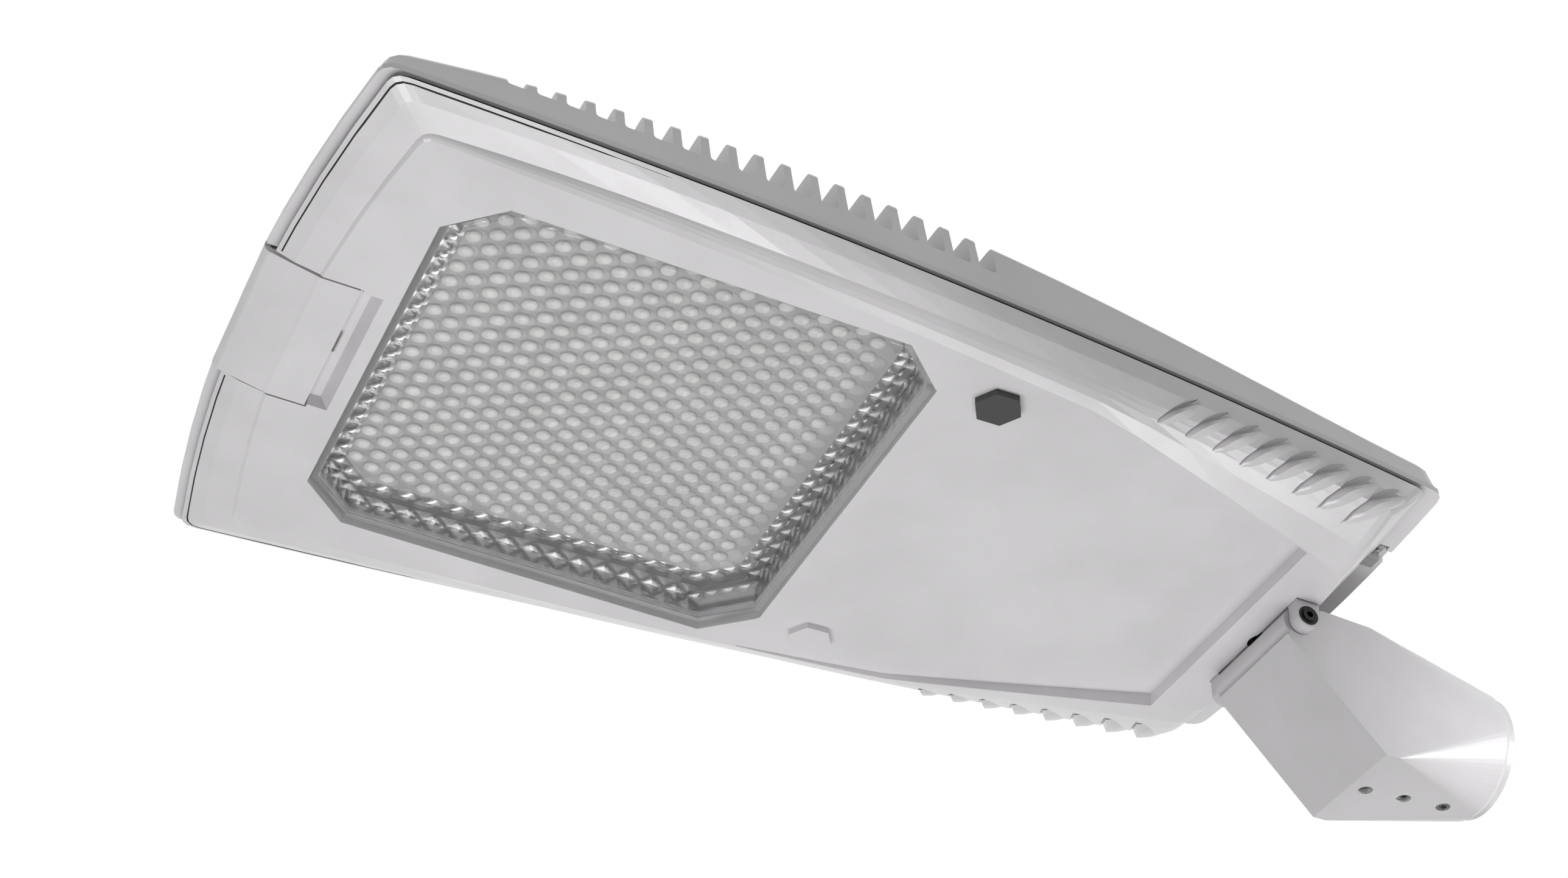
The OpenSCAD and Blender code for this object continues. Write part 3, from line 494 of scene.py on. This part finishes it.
def gill(points, faces, u, side, size):
    first, n = len(points), len(GILL_PROFILE)
    for i in range(GILL_STEPS + 1):
        along = i / GILL_STEPS
        slot_u = u + size * (-4 + 6.2 * along + 18 * along ** 2)
        slot_q = 0.3 + 0.46 * along
        fullness = math.sin(math.pi * (0.04 + 0.92 * along)) ** 0.6
        for across, rise in GILL_PROFILE:
            place, outwards = on_flank(slot_u + across * GILL_LENGTH * size * fullness, side, slot_q)
            height = (rise * fullness - SUNK * (1 - fullness)) * GILL_RISE * size
            points.append(place + outwards * height)
    for i in range(GILL_STEPS):
        for j in range(n - 1):
            a = first + i * n + j
            quad = (a, a + 1, a + n + 1, a + n)
            faces.append(quad if side < 0 else quad[::-1])


points, faces = [], []
for side in (-1, 1):
    for i in range(GILLS):
        gill(points, faces, FIRST_GILL + GILL_PITCH * i, side, SMALLEST + GROWTH * i / (GILLS - 1))
piece("gills", points, faces, [frame_coat], "housing")

# %% [markdown]
# The floor is far below, as under a lantern on a pole, because the camera looks up from
# under it. Floor and world are plain white for the rays that show them: to the camera, in
# gloss or through glass. Only in gloss the floor is a middle grey, because the glass and its
# lenses look grey in the photo. A quarter of the floor's own shading stays, which keeps the
# object's shadow. As a light the world is dimmer, so that pale paint keeps its shade.

# %% Floor


def rays_that_show(tree):
    """1 for a ray that shows the background: the camera's, in gloss or through glass"""
    path = add(tree, "ShaderNodeLightPath").outputs
    greater = {"operation": "MAXIMUM"}
    seen = add(tree, "ShaderNodeMath", greater, i0=path["Is Camera Ray"], i1=path["Is Transmission Ray"])
    shown = add(tree, "ShaderNodeMath", greater, i0=seen.outputs["Value"], i1=path["Is Glossy Ray"])
    return shown.outputs["Value"]


FLOOR_Z, FLOOR_HALF = -1.7, 8.0
GLOW_SHARE, GLOW, GLOW_IN_GLOSS = 0.75, 1.235, 0.3
floor_mesh = bpy.data.meshes.new("floor")
corners = [(x * FLOOR_HALF, y * FLOOR_HALF, FLOOR_Z) for x, y in ((-1, -1), (1, -1), (1, 1), (-1, 1))]
floor_mesh.from_pydata(corners, [], [(0, 1, 2, 3)])
floor = bpy.data.objects.new("floor", floor_mesh)
bpy.context.scene.collection.objects.link(floor)
floor_paint, tree, shader = new_finish("pale_floor_paint", Base_Color=srgb("#F2F2F2"), Roughness=0.8)
floor_mesh.materials.append(floor_paint)
gloss_ray = add(tree, "ShaderNodeLightPath").outputs["Is Glossy Ray"]
level = add(tree, "ShaderNodeMapRange", {"To Min": GLOW, "To Max": GLOW_IN_GLOSS}, Value=gloss_ray)
glow = add(tree, "ShaderNodeEmission", {"Color": (1, 1, 1, 1)}, Strength=level.outputs["Result"])
share = add(tree, "ShaderNodeMapRange", {"To Max": GLOW_SHARE}, Value=rays_that_show(tree))
blend = {"i0": share.outputs["Result"], "i1": shader.outputs["BSDF"], "i2": glow.outputs["Emission"]}
both = add(tree, "ShaderNodeMixShader", **blend)
paint_end = next(node for node in tree.nodes if node.type == "OUTPUT_MATERIAL")
tree.links.new(both.outputs["Shader"], paint_end.inputs["Surface"])
print("floor", -FLOOR_Z, "m below the socket")

# %% [markdown]
# The world is an even white dome. A dome lights a pale object from all sides at once, which
# leaves it flat, so it counts only a third as a light, and the lamps do the rest.

# %% World
DOME_LIGHT = 0.3
world = bpy.data.worlds.new("studio")
bpy.context.scene.world = world
world.use_nodes = True
sky = world.node_tree
sky.nodes.clear()
strength = add(sky, "ShaderNodeMapRange", {"To Min": DOME_LIGHT, "To Max": 1.0}, Value=rays_that_show(sky))
dome = add(sky, "ShaderNodeBackground", {"Color": (1, 1, 1, 1)}, Strength=strength.outputs["Result"])
add(sky, "ShaderNodeOutputWorld", Surface=dome.outputs["Background"])
print("world counts", DOME_LIGHT, "as a light")

# %% [markdown]
# Six soft lamps stand for a light tent. The main one is right below: the rolled edges, which
# tilt by about 20 degrees, mirror it towards the camera and turn nearly white, while the flat
# underside stays pale grey. Another below the nose evens the underside. A low one on each side
# keeps the flanks grey, a weak one above lights the fins, and a small narrow one makes the
# adapter's round side bright. Places and sizes are in metres, and the powers in watts.

# %% Lamps


def soft_lamp(name, place, target, size, power, spread=180):
    lamp = bpy.data.lights.new(name, "AREA")
    lamp.shape = "RECTANGLE"
    lamp.size, lamp.size_y = size
    lamp.energy, lamp.spread = power, math.radians(spread)
    obj = bpy.data.objects.new(name, lamp)
    bpy.context.scene.collection.objects.link(obj)
    obj.location = place
    z_axis = (place - target).normalized()
    x_axis = (Vector((1, 0, 0)) - z_axis * z_axis.x).normalized()
    obj.rotation_euler = Matrix((x_axis, z_axis.cross(x_axis), z_axis)).transposed().to_euler()
    obj.visible_camera = False


LAMPS = [
    ("from_below", (0.39, 0.2, -1.22), (1.1, 0.3), 5.4),
    ("below_the_nose", (-0.55, 0.1, -1.0), (0.6, 0.6), 4.0),
    ("near_side", (0.0, -0.8, -1.25), (0.8, 0.8), 1.7),
    ("far_side", (-0.2, 0.5, -1.2), (0.8, 0.4), 1.2),
    ("from_above", (-0.3, -0.8, 1.6), (1.4, 1.4), 1.0),
]
middle = at(300, 0, 0)
for name, offset, size, power in LAMPS:
    soft_lamp(name, middle + Vector(offset), middle, size, power)
socket = at(650, 0, -65)
beside = socket + Vector((0.48, -0.6, -0.1))
soft_lamp("beside_the_adapter", beside, socket + Vector((0.03, 0, -0.02)), (0.2, 0.2), 0.14, 16)
print("lamps aimed at", tuple(round(c, 2) for c in middle))

# %% [markdown]
# The camera stands where the photo was taken from: below the lantern, on the nose's near side.
# Its place and turn were worked out from the outline's parallel edges. It is a moderate
# telephoto lens, because those edges converge only a little.

# %% Camera
camera_data = bpy.data.cameras.new("camera")
camera_data.sensor_width, camera_data.lens = 36.0, 66.73
camera = bpy.data.objects.new("camera", camera_data)
bpy.context.scene.collection.objects.link(camera)
camera.location = (-0.8739, -1.1151, -0.8463)
camera.rotation_euler = [math.radians(a) for a in (127.6, -1.87, -23.644)]
bpy.context.scene.camera = camera
bpy.context.scene.view_settings.view_transform = "Standard"
print("camera at", tuple(camera.location))
